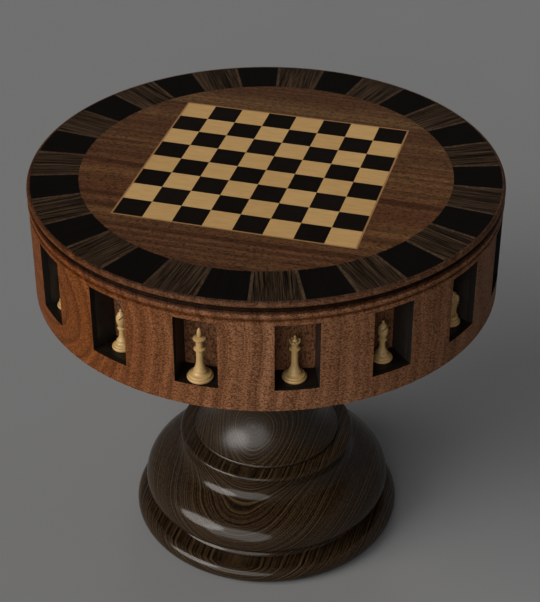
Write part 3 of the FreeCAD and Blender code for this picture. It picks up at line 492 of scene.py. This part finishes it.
# A cone swelled at its middle like a leaf
def shapeEar():
    ear = carving["ear"]
    bpy.ops.mesh.primitive_cone_add(vertices=ear["sides"], radius1=ear["radius"] * ear["foot"],
                                    radius2=ear["radius"] * ear["tip"], depth=ear["height"])
    bpy.ops.object.mode_set(mode="EDIT")
    bpy.ops.mesh.select_all(action="SELECT")
    bpy.ops.mesh.subdivide(number_cuts=ear["cuts"])
    pick(lambda spot: abs(spot.z) < ear["height"] * ear["bellyHalf"])
    bpy.ops.transform.resize(value=ear["belly"], center_override=ownMiddle)
    bpy.ops.object.mode_set(mode="OBJECT")
    return bpy.context.object


def addBump(place, size, tilt, draw=1.0):
    bump = shapeBump(draw)
    bump.location, bump.scale, bump.rotation_euler = place, size, (0.0, math.radians(tilt), 0.0)
    return bump


# The foot's middle, and the way the muzzle points
def knightStand(node):
    spots = [vertex.co for vertex in nodes[node].data.vertices]
    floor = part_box(node)[0].z
    foot = [spot for spot in spots if spot.z < floor + carving["footBand"]]
    middle = Vector([(min(spot[axis] for spot in foot) + max(spot[axis] for spot in foot)) / 2
                     for axis in range(2)])
    head = [spot.xy - middle for spot in spots if spot.z > floor + carving["headFrom"]]
    muzzle = max(head, key=lambda spot: spot.length)
    return (middle.x, middle.y, floor), math.atan2(muzzle.y, muzzle.x)


def carveKnight(node):
    bpy.ops.object.select_all(action="DESELECT")
    made = []
    ear, mane = carving["ear"], carving["mane"]
    for side in (-1, 1):
        flank = side * carving["halfCheek"]
        for bump in carving["bumps"].values():
            made.append(addBump(headSpot(bump["at"], flank), bump["size"], bump["tilt"]))
        leaf = shapeEar()
        leaf.location = headSpot(ear["at"], side * ear["spread"])
        leaf.rotation_euler = (-side * math.radians(ear["lean"]), 0.0, 0.0)
        made.append(leaf)
        middle = headSpot(mane["middle"], flank)
        for lock in range(mane["locks"]):
            share = lock / (mane["locks"] - 1)
            angle = mane["from"] + (mane["to"] - mane["from"]) * share
            reach = mane["radius"][0] + (mane["radius"][1] - mane["radius"][0]) * share
            place = (middle[0] + reach * math.cos(math.radians(angle)), flank,
                     middle[2] + reach * math.sin(math.radians(angle)))
            made.append(addBump(place, mane["size"], -angle, mane["draw"]))
    for item in made:
        item.select_set(True)
    bpy.ops.object.join()
    piece = bpy.context.object
    piece.name = node + "Carving"
    bpy.ops.object.transform_apply(location=True, rotation=True, scale=True)
    piece.location, turn = knightStand(node)
    piece.rotation_euler = (0.0, 0.0, turn)
    bpy.ops.object.transform_apply(location=True, rotation=True, scale=True)
    bpy.ops.object.shade_smooth()
    wood = "boxwood" if node.startswith("light_") else "rosewood"
    piece.data.materials.append(skins[wood])
    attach(piece, node)


knights = [name for name in nodes if name.endswith("_knight")]
for name in knights:
    carveKnight(name)
print("knights carved:", len(knights))


# Floor, light and camera

stageLook = {
    "floorSize": 40.0, "floorLevel": -0.0005, "floorTone": (0.208, 0.2105, 0.214), "floorShade": 0.98,
    "cloudScale": 3.0, "roughness": (0.8, 0.85), "specular": 0.1, "depth": 0.0001,
    "worldTone": (0.62, 0.63, 0.65), "worldStrength": 0.22, "backdropTone": (0.17, 0.17, 0.169),
}


def buildFloor():
    bpy.ops.object.select_all(action="DESELECT")
    bpy.ops.mesh.primitive_plane_add(size=stageLook["floorSize"], location=(0.0, 0.0, stageLook["floorLevel"]))
    floor = bpy.context.object
    floor.name = "studioFloor"
    mat, tree, skin = newShader("floorPaint", stageLook)
    cloud = noise(tree, put(tree, "TexCoord").outputs["Object"], stageLook["cloudScale"])
    tone = stageLook["floorTone"]
    shade = tuple(channel * stageLook["floorShade"] for channel in tone)
    colour = ramp(tree, cloud, list(zip(figureSpan, (shade, tone))))
    rough = span(tree, cloud, *figureSpan, *stageLook["roughness"])
    finishSkin(tree, skin, colour, rough, cloud, stageLook["depth"])
    floor.data.materials.append(mat)


def buildWorld():
    world = bpy.data.worlds.new("studio")
    bpy.context.scene.world = world
    world.use_nodes = True
    tree = world.node_tree
    tree.nodes.clear()
    sky = put(tree, "Background", {0: (*stageLook["worldTone"], 1.0), 1: stageLook["worldStrength"]})
    backdrop = put(tree, "Background", {0: (*stageLook["backdropTone"], 1.0), 1: 1.0})  # past the floor's end
    seen = put(tree, "LightPath").outputs["Is Camera Ray"]
    both = put(tree, "MixShader", {0: seen, 1: sky.outputs[0], 2: backdrop.outputs[0]})
    put(tree, "OutputWorld", {0: both.outputs[0]})


cameraAzimuth = 15.73  # degrees from -Y towards +X, the lamps are turned from there
lamps = {
    "key": {"azimuth": -64.0, "height": 31.0, "softness": 38.0, "strength": 2.3, "tint": (1.0, 0.96, 0.91)},
    "front": {"azimuth": -27.0, "height": 23.0, "softness": 56.0, "strength": 1.8, "tint": (1.0, 0.99, 0.97)},
    "rear": {"azimuth": 174.0, "height": 2.0, "softness": 30.0, "strength": 1.7, "tint": (1.0, 1.0, 1.0),
             "gloss": False},  # fills in the back without a sheen on the top
}


def buildLamps():
    for name, spec in lamps.items():
        data = bpy.data.lights.new(name, "SUN")
        data.angle = math.radians(spec["softness"])
        data.energy = spec["strength"]
        data.color = spec["tint"]
        lamp = bpy.data.objects.new(name, data)
        bpy.context.collection.objects.link(lamp)
        lamp.visible_glossy = spec.get("gloss", True)
        tilt, turn = 90.0 - spec["height"], spec["azimuth"] + cameraAzimuth
        lamp.rotation_euler = (math.radians(tilt), 0.0, math.radians(turn))


cameraLook = {"place": (0.6356, -2.2573, 2.0339), "tilt": 56.05, "heading": 15.57, "sensor": 36.0,
              "focal": 1596.9, "frameHeight": 602}  # focal length and height in pixels


def buildCamera():
    data = bpy.data.cameras.new("camera")
    data.sensor_width = cameraLook["sensor"]
    data.lens = cameraLook["focal"] / cameraLook["frameHeight"] * data.sensor_width
    camera = bpy.data.objects.new("camera", data)
    bpy.context.collection.objects.link(camera)
    camera.location = cameraLook["place"]
    camera.rotation_euler = (math.radians(cameraLook["tilt"]), 0.0, math.radians(cameraLook["heading"]))
    bpy.context.scene.camera = camera


buildFloor()
buildWorld()
buildLamps()
buildCamera()
bpy.context.scene.view_settings.view_transform = "Standard"
print("stage, lamps and camera set")
